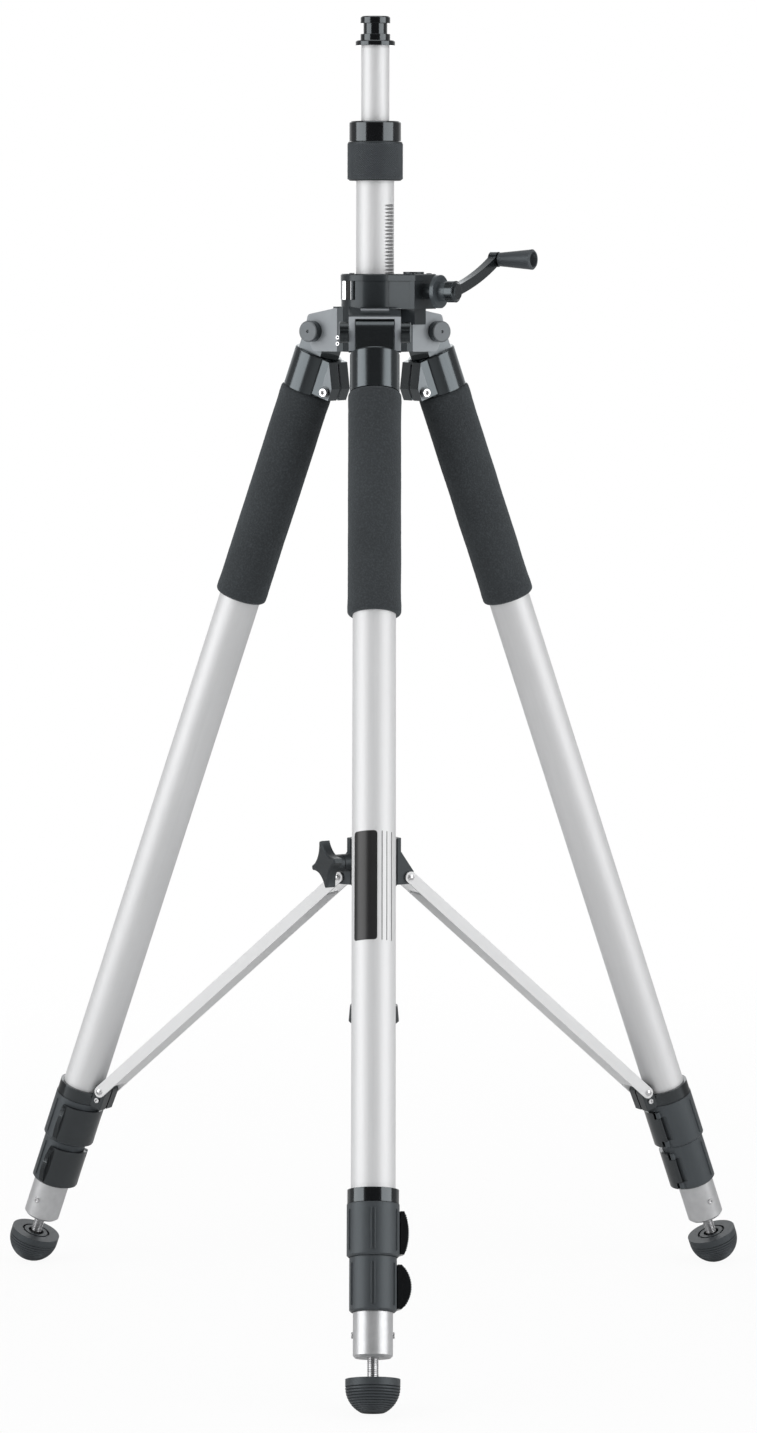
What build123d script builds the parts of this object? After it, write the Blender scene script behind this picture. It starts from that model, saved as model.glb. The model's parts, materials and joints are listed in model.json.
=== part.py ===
from build123d import *
import os
from math import acos, asin, atan2, cos, degrees, hypot, pi, radians, sin, tan

# A crank-lift tripod stand for a laser level. Heights are measured from the hinge line of the legs
# and radii from the column's axis; the finished stand is then set down with its feet on the floor.

# Clearances
running_gap = 0.05
slide_gap = 0.3
seat_gap = 0.05

# Legs: spread, and places along the leg measured down from its hinge
leg_azimuths = {"front": -90, "right": 30, "left": 150}
leg_tilt = 20.5
hinge_radius = 40.5
upper_tube_od = 30.0
tube_wall = 1.4
tube_slide_gap = 0.4
barrel_top = 15.8
barrel_roof = 2.7
grip_top = 45.0
grip_length = 161.0
grip_od = 37.0
collar_top = 604.7
collar_height = 9.4
upper_clamp_height = 35.3
lower_clamp_height = 36.0
ferrule_height = 29.9
ferrule_radius = 13.3
ferrule_floor = 4.0
ferrule_chamfer = 1.5
foot_drop = 13.9
tube_seat = 9.0
middle_tube_inset = 43.0
lower_tube_inset = 10.0

# Leg head and its hinge bolt
neck_radius = 9.5
neck_width = 27.2
barrel_radius = 17.4
barrel_fillet = 1.4
ear_reach = 26.0
ear_width = 25.6
ear_slit = 2.4
ear_setback = 1.5
ear_foot = 9.0
bolt_radius = 4.0
bolt_cap_radius = 7.5
bolt_cap_length = 7.0
bolt_cap_chamfer = 0.8
bolt_dimple_radius = 1.1
bolt_dimple_depth = 0.8

# Hub casting with three forks and the gearbox
fork_wall = 4.4
fork_roof = 2.4
fork_slot_start = 27.5
fork_rise = 18.5
fork_tip_rise = 12.0
fork_drop = 14.2
fork_overhang = 6.5
fork_shoulder = 4.0
fork_nose = 10.0
fork_rounding = 2.6
boss_radius = 24.0
boss_top = 35.8
cover_thickness = 5.0
cover_lip = 0.5
guide_socket = 8.5
gearbox_half = 14.0
gearbox_reach = 41.0
gearbox_bottom = 16.2
gearbox_wall = 2.7
gearbox_end_wall = 4.0
gearbox_flange = 1.3
gusset_half = 8.0
gusset_drop = 11.0
roof_bar_start = 25.0
roof_bar_length = 3.5
roof_bar_height = 1.6
roof_bar_half = 10.0
cover_plug_offset = 31.5
cover_plug_radius = 7.4
cover_plug_height = 1.5
cover_chamfer = 0.8
bubble_window = 3.0
bubble_azimuth = -150
bubble_offset = 21.8
bubble_slot_turn = 55
bubble_radius = 5.5
bubble_height = 13.2

# Column, mast and head
column_od = 26.9
column_bore = 20.7
column_top = 131.0
column_bottom = -475.0
rack_top = 89.4
rack_stroke = 300.0
rack_module = 0.8
mast_od = 19.9
mast_wall = 1.5
mast_bottom = -345.0
nut_bottom = 106.3
nut_height = 27.4
nut_radius = 19.25
nut_lip = 3.4
clamp_ring_height = 14.0
clamp_ring_radius = 18.5
clamp_sleeve_wall = 3.4
plate_height = 200.9
plate_thickness = 3.5
plate_radius = 14.1
plug_depth = 15.0
stud_radius = 3.175
stud_length = 11.5
seat_recess = 0.8
plate_chamfer = 0.6
cap_height = 17.5
cap_flange = 5.0
cap_radius = 10.6
cap_neck_radius = 8.5
cap_chamfer = 0.8
nut_chamfer = 1.2
clamp_ring_chamfer = 1.0

# Crank drive: the crank shaft points out between the front and right legs
crank_azimuth = -30
crank_height = 28.5
pinion_teeth = 12
pinion_half_width = 4.0
pinion_shaft_radius = 2.5
wheel_teeth = 12
crown_teeth = 18
bevel_module = 1.0
bevel_face = 1.7
bevel_backlash = 0.5
rack_backlash = 0.3
crank_shaft_radius = 4.0
brake_disc_radius = 11.7
brake_disc_start = 50.7
brake_disc_thickness = 3.0
bearing_tube_radius = 5.6
crank_barrel_radius = 7.0
crank_barrel_end = 59.8
crank_throw_side = 62.4
crank_throw_up = 22.5
arm_thickness = 6.0
arm_width = 7.2
arm_eye_radius = 7.6
arm_tip_radius = 5.4
arm_cap_radius = 6.9
arm_cap_height = 1.8
arm_cap_taper = 40
grip_pin_radius = 2.5
grip_pin_length = 12.0
crank_grip_length = 28.0
crank_grip_small = 4.9
crank_grip_large = 7.3
crank_grip_rim = 1.0
crank_grip_recess = 6.0

# Guide tube, brace slider and braces
guide_radius = 14.8
guide_bottom = -494.0
end_ring_height = 12.4
end_ring_radius = 18.2
ring_lip = 3.0
ring_taper = 1.0
slider_bottom = -397.0
slider_height = 34.0
slider_wall = 1.5
slider_shoulder = 1.1
slider_straight = 10.0
lug_chamfer = 1.0
brace_pin_radius_at_slider = 25.0
brace_pin_height_at_slider = -392.0
brace_pin_down_leg = 600.0
brace_pin_inside_leg = 20.5
brace_width = 20.0
brace_sheet = 1.5
brace_end_radius = 4.2
brace_rivet_radius = 1.8
web_start = 13.6
web_end = 16.5
rivet_head = 0.8
rivet_rim = 0.5
collar_radius = 17.3
collar_slit = 1.6
lug_radius = 4.9
knob_azimuth = -150
knob_height = -379.3
knob_boss_radius = 6.4
knob_boss_end = 27.0
knob_radius = 16.8
knob_start = 35.3
knob_thickness = 7.1
knob_lobes = 4
knob_scallop_offset = 27.3
knob_scallop_radius = 17.8
knob_scallop_start = 60
knob_chamfer = 0.9
knob_screw_radius = 3.0

# Flip levers on the leg clamps
clamp_wall = 2.65
lever_angle = 204
lever_tab_angle = 100
lever_thickness = 2.6
lever_inset = 4.2
lever_foot_inset = 2.2
lever_knuckle = 4.8
lever_barrel_radius = 1.8
lever_pin_radius = 0.9
lever_plate_gap = 0.4
lever_link = 4.4
lever_slot_width = 5.4
upper_tab_tip = 23.4
lower_tab_tip = 25.2
lever_tab_thickness = 3.4
clamp_chamfer = 1.2
clamp_rib_angles = (-62, -4, 4, 62)
clamp_rib_width = 0.8
clamp_rib_height = 0.8
clamp_rib_inset = 4.0

# Rubber foot and its spindle
foot_radius = 18.25
foot_band = 5.4
foot_tip_radius = 7.6
foot_collar_radius = 10.5
foot_groove = 1.6
foot_ribs = 10
foot_rib_depth = 0.7
foot_rib_gap = 0.9
spindle_radius = 3.5
spindle_buried = 9.0
spindle_headroom = 6.0
spindle_point = 3.0
foot_socket_room = 2.0
foot_mouth = 2.4
foot_mouth_depth = 4.0

os.makedirs("parts", exist_ok=True)


def turned(outline):
    """A piece turned about the upright axis from a closed outline of (radius, height) points."""
    with BuildPart() as piece:
        with BuildSketch(Plane.XZ):
            with BuildLine():
                Polyline(*outline, close=True)
            make_face()
        revolve(axis=Axis.Z)
    return piece


def tube(outer, bore, top, bottom):
    """A plain tube between two heights."""
    return turned([(bore, bottom), (outer, bottom), (outer, top), (bore, top)])


# Leg tubes: three that slide in each other
upper_radius = upper_tube_od / 2
upper_bore = upper_radius - tube_wall
middle_radius = upper_bore - tube_slide_gap
middle_bore = middle_radius - tube_wall
lower_radius = middle_bore - tube_slide_gap
lower_bore = lower_radius - tube_wall

collar_bottom = collar_top + collar_height
upper_clamp_top = collar_bottom + slide_gap
upper_clamp_bottom = upper_clamp_top + upper_clamp_height
lower_clamp_top = upper_clamp_bottom + slide_gap
lower_clamp_bottom = lower_clamp_top + lower_clamp_height
ferrule_top = lower_clamp_bottom + slide_gap
ferrule_bottom = ferrule_top + ferrule_height
foot_top = ferrule_bottom + foot_drop

tube_start = barrel_top + barrel_roof
upper_tube_end = upper_clamp_bottom - tube_seat
middle_tube_end = lower_clamp_bottom - tube_seat
lower_tube_end = ferrule_bottom - ferrule_floor - slide_gap
middle_tube_start = tube_start + middle_tube_inset
lower_tube_start = middle_tube_start + lower_tube_inset

upper_tube = tube(upper_radius, upper_bore, -tube_start, -upper_tube_end)
middle_tube = tube(middle_radius, middle_bore, -middle_tube_start, -middle_tube_end)
lower_tube = tube(lower_radius, lower_bore, -lower_tube_start, -lower_tube_end)

# Leg head: a round-topped neck in the fork, a barrel over the tube and two pinch ears
barrel_bottom = grip_top - slide_gap
with BuildPart() as leg_head:
    with BuildSketch(Plane.XY.offset(-barrel_bottom)):
        Circle(barrel_radius)
    extrude(amount=barrel_bottom - barrel_top)
    fillet(leg_head.edges().sort_by(Axis.Z)[-1], radius=barrel_fillet)
    with BuildSketch(Plane.XZ):
        Circle(neck_radius)
        Rectangle(2 * neck_radius, tube_start, align=(Align.CENTER, Align.MAX))
    extrude(amount=neck_width / 2, both=True)
    with BuildSketch(Plane.XZ):
        with BuildLine():
            Polyline(
                (0, -barrel_top - ear_setback),
                (-barrel_radius, -barrel_top - ear_setback),
                (-ear_reach, -barrel_bottom + ear_setback + ear_foot),
                (-ear_reach, -barrel_bottom + ear_setback),
                (0, -barrel_bottom + ear_setback),
                close=True,
            )
        make_face()
    extrude(amount=ear_width / 2, both=True)
    with BuildSketch(Plane.XY.offset(-barrel_bottom)):
        Circle(upper_radius + seat_gap)
    extrude(amount=barrel_bottom - tube_start + seat_gap, mode=Mode.SUBTRACT)
    with BuildSketch(Plane.XZ):
        with Locations((-ear_reach, -barrel_bottom)):
            Rectangle(2 * ear_reach, 2 * (barrel_bottom - tube_start))
    extrude(amount=ear_slit / 2, both=True, mode=Mode.SUBTRACT)
    with BuildSketch(Plane.XZ):
        Circle(bolt_radius + running_gap)
    extrude(amount=neck_width, both=True, mode=Mode.SUBTRACT)

# Foam grip with rounded ends
with BuildPart() as foam_grip:
    with BuildSketch(Plane.XY.offset(-grip_top - grip_length)):
        Circle(grip_od / 2)
        Circle(upper_radius + seat_gap, mode=Mode.SUBTRACT)
    extrude(amount=grip_length)
    foam_rim = foam_grip.edges().filter_by(GeomType.CIRCLE).group_by(SortBy.RADIUS)[-1]
    fillet(foam_rim, radius=(grip_od / 2 - upper_radius) * 0.7)

# Split collar with the lug that carries the brace
lug_half = brace_width / 2 - brace_sheet - slide_gap
with BuildPart() as brace_collar:
    with BuildSketch(Plane.XY.offset(-collar_bottom)):
        Circle(collar_radius)
    extrude(amount=collar_height)
    with BuildSketch(Plane.XZ):
        with Locations((-brace_pin_inside_leg, -brace_pin_down_leg)):
            Circle(lug_radius)
        with Locations((-upper_radius, -collar_bottom)):
            Rectangle(2 * lug_radius, collar_height, align=(Align.MAX, Align.MIN))
        make_hull()
    extrude(amount=lug_half, both=True)
    with BuildSketch(Plane.XY.offset(-collar_bottom)):
        Circle(upper_radius + seat_gap)
    extrude(amount=collar_bottom - brace_pin_down_leg + 2 * lug_radius, mode=Mode.SUBTRACT)
    with BuildSketch(Plane.XZ):
        with Locations((-brace_pin_inside_leg, -brace_pin_down_leg)):
            Circle(brace_rivet_radius + running_gap)
    extrude(amount=brace_width, both=True, mode=Mode.SUBTRACT)
    with BuildSketch(Plane.XZ):
        with Locations((-upper_bore, -collar_bottom)):
            Rectangle(2 * brace_pin_inside_leg, 2 * collar_bottom, align=(Align.MAX, Align.CENTER))
    extrude(amount=collar_slit / 2, both=True, mode=Mode.SUBTRACT)


def leg_clamp(top, bottom, tube_radius, tube_end, sliding_radius, tab_tip):
    """A leg clamp with its hinge knuckles and pin, and the flip lever that closes it."""
    outer = tube_radius + clamp_wall
    inner_face = outer + slide_gap
    outer_face = inner_face + lever_thickness
    hinge = outer_face - lever_barrel_radius
    lever_top = top + lever_inset
    lever_bottom = bottom - lever_foot_inset
    barrel_room = lever_bottom - lever_top - 2 * lever_knuckle
    seat = tube_radius + seat_gap
    slide = sliding_radius + slide_gap
    hinge_spot = Location((0, 0, 0), (0, 0, lever_angle)) * Location((hinge, 0, 0))
    with BuildPart() as clamp:
        with BuildSketch(Plane.XY.offset(-bottom)):
            Circle(outer)
        extrude(amount=bottom - top)
        chamfer(clamp.edges().filter_by(GeomType.CIRCLE).group_by(Axis.Z)[0], length=clamp_chamfer)
        with BuildSketch(Plane.XY.offset(-bottom + clamp_rib_inset)):
            for angle in clamp_rib_angles:
                with Locations(Location((0, 0, 0), (0, 0, angle)) * Location((outer, 0, 0))):
                    Rectangle(2 * clamp_rib_height, clamp_rib_width)
        extrude(amount=bottom - top - 2 * clamp_rib_inset)
        for height in (-lever_top - lever_knuckle, -lever_bottom):
            with BuildSketch(Plane.XY.offset(height)):
                with Locations(hinge_spot):
                    Circle(lever_barrel_radius)
                    Rectangle(hinge - tube_radius, 2 * lever_barrel_radius, align=(Align.MAX, Align.CENTER))
            extrude(amount=lever_knuckle)
        with BuildSketch(Plane.XY.offset(-lever_bottom + lever_knuckle)):
            with Locations(hinge_spot):
                Circle(lever_barrel_radius + slide_gap)
                Rectangle(
                    2 * (lever_barrel_radius + slide_gap), lever_slot_width, align=(Align.CENTER, Align.MIN)
                )
        extrude(amount=barrel_room, mode=Mode.SUBTRACT)
        with BuildSketch(Plane.XY.offset(-lever_bottom)):
            with Locations(hinge_spot):
                Circle(lever_pin_radius)
        extrude(amount=lever_bottom - lever_top)
        with BuildSketch(Plane.XY.offset(-bottom)):
            Circle(slide)
        extrude(amount=bottom - top, mode=Mode.SUBTRACT)
        with BuildSketch(Plane.XY.offset(-tube_end)):
            Circle(seat)
        extrude(amount=tube_end - top, mode=Mode.SUBTRACT)
    plate_reach = lever_barrel_radius + 2 * slide_gap + lever_plate_gap
    plate_angle = lever_angle - degrees(2 * asin(plate_reach / (2 * hinge)))
    tab_turn = radians(lever_tab_angle)
    tab_plane = Plane(
        origin=(0, 0, 0), x_dir=(cos(tab_turn), sin(tab_turn), 0), z_dir=(sin(tab_turn), -cos(tab_turn), 0)
    )
    with BuildPart() as lever:
        with BuildSketch(Plane.XY.offset(-lever_bottom)):
            with BuildLine():
                CenterArc((0, 0), outer_face, lever_tab_angle, plate_angle - lever_tab_angle)
                CenterArc((0, 0), inner_face, lever_tab_angle, plate_angle - lever_tab_angle)
                Line(PolarLine((0, 0), inner_face, plate_angle, mode=Mode.PRIVATE) @ 1,
                     PolarLine((0, 0), outer_face, plate_angle, mode=Mode.PRIVATE) @ 1)
                Line(PolarLine((0, 0), inner_face, lever_tab_angle, mode=Mode.PRIVATE) @ 1,
                     PolarLine((0, 0), outer_face, lever_tab_angle, mode=Mode.PRIVATE) @ 1)
            make_face()
        extrude(amount=lever_bottom - lever_top)
        with BuildSketch(tab_plane):
            with BuildLine():
                Polyline(
                    (outer_face, -lever_bottom),
                    (inner_face, -lever_bottom),
                    (inner_face, -lever_top),
                    (outer_face, -lever_top),
                )
                ThreePointArc(
                    (outer_face, -lever_top),
                    (tab_tip, -(lever_top + lever_bottom) / 2),
                    (outer_face, -lever_bottom),
                )
            make_face()
        extrude(amount=lever_tab_thickness)
        with BuildSketch(Plane.XY.offset(-lever_bottom + lever_knuckle + slide_gap)):
            with Locations(hinge_spot):
                Rectangle(2 * lever_barrel_radius, lever_link, align=(Align.CENTER, Align.MAX))
            Circle(outer_face, mode=Mode.INTERSECT)
            Circle(inner_face, mode=Mode.SUBTRACT)
            with Locations(hinge_spot):
                Circle(lever_barrel_radius)
                Circle(lever_pin_radius + running_gap, mode=Mode.SUBTRACT)
        extrude(amount=barrel_room - 2 * slide_gap)
    return clamp, lever


upper_clamp, upper_lever = leg_clamp(
    upper_clamp_top, upper_clamp_bottom, upper_radius, upper_tube_end, middle_radius, upper_tab_tip
)
lower_clamp, lower_lever = leg_clamp(
    lower_clamp_top, lower_clamp_bottom, middle_radius, middle_tube_end, lower_radius, lower_tab_tip
)

# Ferrule that closes the lowest tube, and the threaded spindle fixed in it
ferrule = turned([
    (lower_radius + seat_gap, -ferrule_top),
    (ferrule_radius, -ferrule_top),
    (ferrule_radius, -ferrule_bottom + ferrule_chamfer),
    (ferrule_radius - ferrule_chamfer, -ferrule_bottom),
    (spindle_radius + seat_gap, -ferrule_bottom),
    (spindle_radius + seat_gap, -ferrule_bottom + ferrule_floor),
    (lower_radius + seat_gap, -ferrule_bottom + ferrule_floor),
])
spindle_top = ferrule_bottom - ferrule_floor - spindle_headroom
spindle_end = foot_top + spindle_buried
spindle = turned([
    (0, -spindle_top),
    (spindle_radius, -spindle_top),
    (spindle_radius, -spindle_end + spindle_point),
    (spindle_radius - spindle_point / 2, -spindle_end),
    (0, -spindle_end),
])

# Rubber foot: flat grooved top, a short band and a ribbed ball with a flat tip
ball_centre = foot_top + foot_band
tip_depth = ball_centre + (foot_radius ** 2 - foot_tip_radius ** 2) ** 0.5
mouth_radius = spindle_radius + foot_mouth
foot_arc_middle = radians(45)
rib_step = degrees(acos(foot_tip_radius / foot_radius)) / (foot_ribs + 0.5)
with BuildPart() as rubber_foot:
    with BuildSketch(Plane.XZ):
        with BuildLine():
            Polyline(
                (0, -tip_depth),
                (0, -spindle_end - foot_socket_room),
                (spindle_radius + running_gap, -spindle_end - foot_socket_room),
                (spindle_radius + running_gap, -foot_top - foot_mouth_depth),
                (mouth_radius, -foot_top - foot_mouth_depth),
                (mouth_radius, -foot_top),
                (foot_collar_radius - foot_groove, -foot_top),
                (foot_collar_radius - foot_groove, -foot_top - foot_groove),
                (foot_collar_radius, -foot_top - foot_groove),
                (foot_collar_radius, -foot_top),
                (foot_radius, -foot_top),
                (foot_radius, -ball_centre),
            )
            ThreePointArc(
                (foot_radius, -ball_centre),
                (foot_radius * cos(foot_arc_middle), -ball_centre - foot_radius * sin(foot_arc_middle)),
                (foot_tip_radius, -tip_depth),
            )
            Line((foot_tip_radius, -tip_depth), (0, -tip_depth))
        make_face()
        for rib in range(foot_ribs):
            with Locations(Location((0, -ball_centre, 0), (0, 0, -rib * rib_step))):
                Polygon(
                    (foot_radius - foot_rib_depth, 0),
                    (foot_radius + foot_rib_depth, -foot_rib_gap),
                    (foot_radius + foot_rib_depth, foot_rib_gap),
                    align=None,
                    mode=Mode.SUBTRACT,
                )
    revolve(axis=Axis.Z)

# Brace: a bent channel, open on top, riveted to the collar's lug and reaching to the slider
tilt = radians(leg_tilt)
leg_pin_r = hinge_radius + brace_pin_down_leg * sin(tilt) - brace_pin_inside_leg * cos(tilt)
leg_pin_z = -brace_pin_down_leg * cos(tilt) - brace_pin_inside_leg * sin(tilt)
brace_run = leg_pin_r - brace_pin_radius_at_slider
brace_rise = brace_pin_height_at_slider - leg_pin_z
brace_length = hypot(brace_run, brace_rise)
brace_lean = degrees(atan2(brace_run, brace_rise))
brace_inside = brace_width - 2 * brace_sheet
with BuildPart() as brace:
    with BuildSketch(Plane.XZ):
        with Locations((0, brace_length / 2)):
            SlotCenterToCenter(brace_length, 2 * brace_end_radius, rotation=90)
    extrude(amount=brace_width / 2, both=True)
    with BuildSketch(Plane.XZ):
        with Locations((-brace_end_radius + brace_sheet, -brace_end_radius)):
            Rectangle(
                2 * brace_end_radius, brace_length + 2 * brace_end_radius, align=(Align.MIN, Align.MIN)
            )
        with Locations((-brace_end_radius, -brace_end_radius)):
            Rectangle(2 * brace_end_radius, web_start + brace_end_radius, align=(Align.MIN, Align.MIN))
        with Locations((-brace_end_radius, brace_length + brace_end_radius)):
            Rectangle(2 * brace_end_radius, web_end + brace_end_radius, align=(Align.MIN, Align.MAX))
    extrude(amount=brace_inside / 2, both=True, mode=Mode.SUBTRACT)
    with BuildSketch(Plane.XZ):
        Circle(brace_rivet_radius)
    extrude(amount=brace_width / 2, both=True)
    for side in (-1, 1):
        with BuildSketch(Plane.XZ.offset(side * brace_width / 2)):
            with Locations((0, 0), (0, brace_length)):
                Circle(brace_rivet_radius + rivet_rim)
        extrude(amount=side * rivet_head)

# Fork arm of the hub, drawn along +X
fork_gap = neck_width + 2 * slide_gap
fork_half = fork_gap / 2 + fork_wall
fork_tip = hinge_radius + fork_overhang
fork_corner = hinge_radius + fork_shoulder
roof_slope = (fork_rise - fork_tip_rise) / (fork_corner - boss_radius / 2)
slot_ceiling = fork_tip_rise + roof_slope * (fork_corner - fork_slot_start) - fork_roof
with BuildPart() as fork_arm:
    with BuildSketch(Plane.XZ):
        with BuildLine():
            FilletPolyline(
                (boss_radius / 2, fork_rise),
                (fork_corner, fork_tip_rise),
                (fork_tip, fork_tip_rise - fork_nose),
                (hinge_radius, -fork_drop),
                (boss_radius / 2, -fork_drop),
                radius=fork_rounding,
                close=True,
            )
        make_face()
    extrude(amount=fork_half, both=True)
    with BuildSketch(Plane.XZ):
        with BuildLine():
            Polyline(
                (fork_slot_start, slot_ceiling),
                (fork_tip + 1, slot_ceiling - roof_slope * (fork_tip + 1 - fork_slot_start)),
                (fork_tip + 1, -2 * fork_drop),
                (fork_slot_start, -2 * fork_drop),
                close=True,
            )
        make_face()
    extrude(amount=fork_gap / 2, both=True, mode=Mode.SUBTRACT)
    bar_level = fork_tip_rise + roof_slope * (fork_corner - roof_bar_start)
    with BuildSketch(Plane.XZ):
        with Locations((roof_bar_start, bar_level + roof_bar_height)):
            Rectangle(roof_bar_length, 2 * roof_bar_height, align=(Align.MIN, Align.MAX))
    extrude(amount=roof_bar_half, both=True)
    with BuildSketch(Plane.XZ):
        with Locations((hinge_radius, 0)):
            Circle(bolt_radius + running_gap)
    extrude(amount=2 * fork_half, both=True, mode=Mode.SUBTRACT)

# Crank drive frame: x along the pinion shaft, y up, z out along the crank shaft
outward = Vector(cos(radians(crank_azimuth)), sin(radians(crank_azimuth)), 0)
sideways = Vector(-outward.Y, outward.X, 0)
crank_plane = Plane(origin=(0, 0, crank_height), x_dir=sideways, z_dir=outward)
column_radius = column_od / 2
column_passage = column_radius + slide_gap
rack_pitch = pi * rack_module
pinion_radius = rack_module * pinion_teeth / 2
pinion_tip = pinion_radius + rack_module
pinion_root = pinion_radius - 1.25 * rack_module
pinion_out = column_radius - rack_module + pinion_radius
wheel_radius = bevel_module * wheel_teeth / 2
crown_radius = bevel_module * crown_teeth / 2
crown_tip = crown_radius + bevel_module
cavity_half = gearbox_half - gearbox_wall
cavity_floor = crank_height - crown_tip - slide_gap
cavity_roof = crank_height + crown_tip + slide_gap
cavity_end = gearbox_reach - gearbox_end_wall

# Hub casting: boss, three forks and the open-topped gearbox
with BuildPart() as hub_casting:
    with BuildSketch(Plane.XY.offset(-fork_drop)):
        Circle(boss_radius)
    extrude(amount=boss_top + fork_drop)
    with PolarLocations(0, len(leg_azimuths), start_angle=leg_azimuths["front"]):
        add(fork_arm.part)
    with BuildSketch(Plane.XY.offset(gearbox_bottom)):
        with Locations(Location((0, 0, 0), (0, 0, crank_azimuth))):
            Rectangle(gearbox_reach, 2 * gearbox_half, align=(Align.MIN, Align.CENTER))
            with Locations((gearbox_reach, 0)):
                Rectangle(
                    gearbox_end_wall, 2 * (gearbox_half + gearbox_flange), align=(Align.MAX, Align.CENTER)
                )
    extrude(amount=boss_top - gearbox_bottom)
    with BuildSketch(Plane.XY.offset(gearbox_bottom - gusset_drop)):
        with Locations(Location((0, 0, 0), (0, 0, crank_azimuth))):
            Rectangle(cavity_end, 2 * gusset_half, align=(Align.MIN, Align.CENTER))
    extrude(amount=gusset_drop)
    with BuildSketch(crank_plane.offset(gearbox_reach)):
        Circle(bearing_tube_radius)
    extrude(amount=brake_disc_start - slide_gap - gearbox_reach)
    with BuildSketch(Plane.XY.offset(-fork_drop)):
        Circle(column_passage)
    extrude(amount=boss_top + fork_drop, mode=Mode.SUBTRACT)
    with BuildSketch(Plane.XY.offset(-fork_drop)):
        Circle(guide_radius + seat_gap)
    extrude(amount=guide_socket, mode=Mode.SUBTRACT)
    with BuildSketch(Plane.XY.offset(cavity_floor)):
        with Locations(Location((0, 0, 0), (0, 0, crank_azimuth)) * Location((column_radius / 2, 0, 0))):
            Rectangle(cavity_end - column_radius / 2, 2 * cavity_half, align=(Align.MIN, Align.CENTER))
    extrude(amount=boss_top - cavity_floor, mode=Mode.SUBTRACT)
    with BuildSketch(Plane.XY.offset(boss_top - bubble_height)):
        with Locations(Location((0, 0, 0), (0, 0, bubble_azimuth)) * Location((bubble_offset, 0, 0))):
            Circle(bubble_radius + seat_gap)
            with Locations(Location((0, 0, 0), (0, 0, bubble_slot_turn))):
                Rectangle(boss_radius, 2 * (bubble_radius + seat_gap), align=(Align.MIN, Align.CENTER))
    extrude(amount=bubble_height, mode=Mode.SUBTRACT)
    with BuildSketch(crank_plane.offset(pinion_out)):
        Circle(crank_shaft_radius + running_gap)
    extrude(amount=gearbox_reach, mode=Mode.SUBTRACT)
    with BuildSketch(Plane(origin=crank_plane.from_local_coords((0, 0, pinion_out)), z_dir=sideways)):
        Circle(pinion_shaft_radius + running_gap)
    extrude(amount=gearbox_half - gearbox_wall / 2, both=True, mode=Mode.SUBTRACT)

# Hub cover with a low round plug over the gears and a window over the bubble level
with BuildPart() as hub_cover:
    with BuildSketch(Plane.XY.offset(boss_top)):
        Circle(boss_radius + cover_lip)
        with Locations(Location((0, 0, 0), (0, 0, crank_azimuth))):
            Rectangle(
                gearbox_reach + cover_lip,
                2 * (gearbox_half + gearbox_flange),
                align=(Align.MIN, Align.CENTER),
            )
    extrude(amount=cover_thickness)
    chamfer(hub_cover.faces().sort_by(Axis.Z)[-1].edges(), length=cover_chamfer)
    with BuildSketch(Plane.XY.offset(boss_top + cover_thickness)):
        with Locations(Location((0, 0, 0), (0, 0, crank_azimuth)) * Location((cover_plug_offset, 0, 0))):
            Circle(cover_plug_radius)
    extrude(amount=cover_plug_height)
    with BuildSketch(Plane.XY.offset(boss_top)):
        Circle(column_passage)
        with PolarLocations(bubble_offset - bubble_window / 2, 1, start_angle=bubble_azimuth):
            Circle(bubble_window)
    extrude(amount=cover_thickness, mode=Mode.SUBTRACT)
    with BuildSketch(Plane.XY.offset(boss_top)):
        with Locations(Location((0, 0, 0), (0, 0, crank_azimuth)) * Location((column_radius, 0, 0))):
            Rectangle(cavity_end - column_radius, 2 * cavity_half, align=(Align.MIN, Align.CENTER))
    extrude(amount=cavity_roof - boss_top, mode=Mode.SUBTRACT)

# Bubble level: a plated cup pressed in under the cover's window
with BuildPart() as bubble_level:
    with BuildSketch(Plane.XY.offset(boss_top - bubble_height)):
        with Locations(Location((0, 0, 0), (0, 0, bubble_azimuth)) * Location((bubble_offset, 0, 0))):
            Circle(bubble_radius)
    extrude(amount=bubble_height - seat_gap)

# Three hinge bolts with round caps on both ends
with BuildPart() as hinge_bolt:
    with BuildSketch(Plane.XZ):
        with Locations((hinge_radius, 0)):
            Circle(bolt_radius)
    extrude(amount=fork_half + seat_gap, both=True)
    for side in (-1, 1):
        with BuildSketch(Plane.XZ.offset(side * (fork_half + seat_gap))):
            with Locations((hinge_radius, 0)):
                Circle(bolt_cap_radius)
        extrude(amount=side * bolt_cap_length)
    chamfer(hinge_bolt.edges().filter_by(GeomType.CIRCLE).group_by(Axis.Y)[0], length=bolt_cap_chamfer)
    chamfer(hinge_bolt.edges().filter_by(GeomType.CIRCLE).group_by(Axis.Y)[-1], length=bolt_cap_chamfer)
    for side in (-1, 1):
        with BuildSketch(Plane.XZ.offset(side * (fork_half + seat_gap + bolt_cap_length))):
            with Locations((hinge_radius, 0)):
                Circle(bolt_dimple_radius)
        extrude(amount=-side * bolt_dimple_depth, mode=Mode.SUBTRACT)
with BuildPart() as leg_hinge_bolts:
    with PolarLocations(0, len(leg_azimuths), start_angle=leg_azimuths["front"]):
        add(hinge_bolt.part)

# Guide tube under the hub, with its flared end ring
guide_top = guide_socket - fork_drop - seat_gap
guide_bore = column_passage
guide_tube = tube(guide_radius, guide_bore, guide_top, guide_bottom)
guide_end_ring = turned([
    (guide_radius + seat_gap, guide_bottom + end_ring_height - ring_lip),
    (end_ring_radius - ring_taper, guide_bottom + end_ring_height - ring_lip),
    (end_ring_radius, guide_bottom - ring_lip + ring_taper),
    (end_ring_radius - ring_taper, guide_bottom - ring_lip),
    (guide_bore, guide_bottom - ring_lip),
    (guide_bore, guide_bottom - seat_gap),
    (guide_radius + seat_gap, guide_bottom - seat_gap),
])

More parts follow.
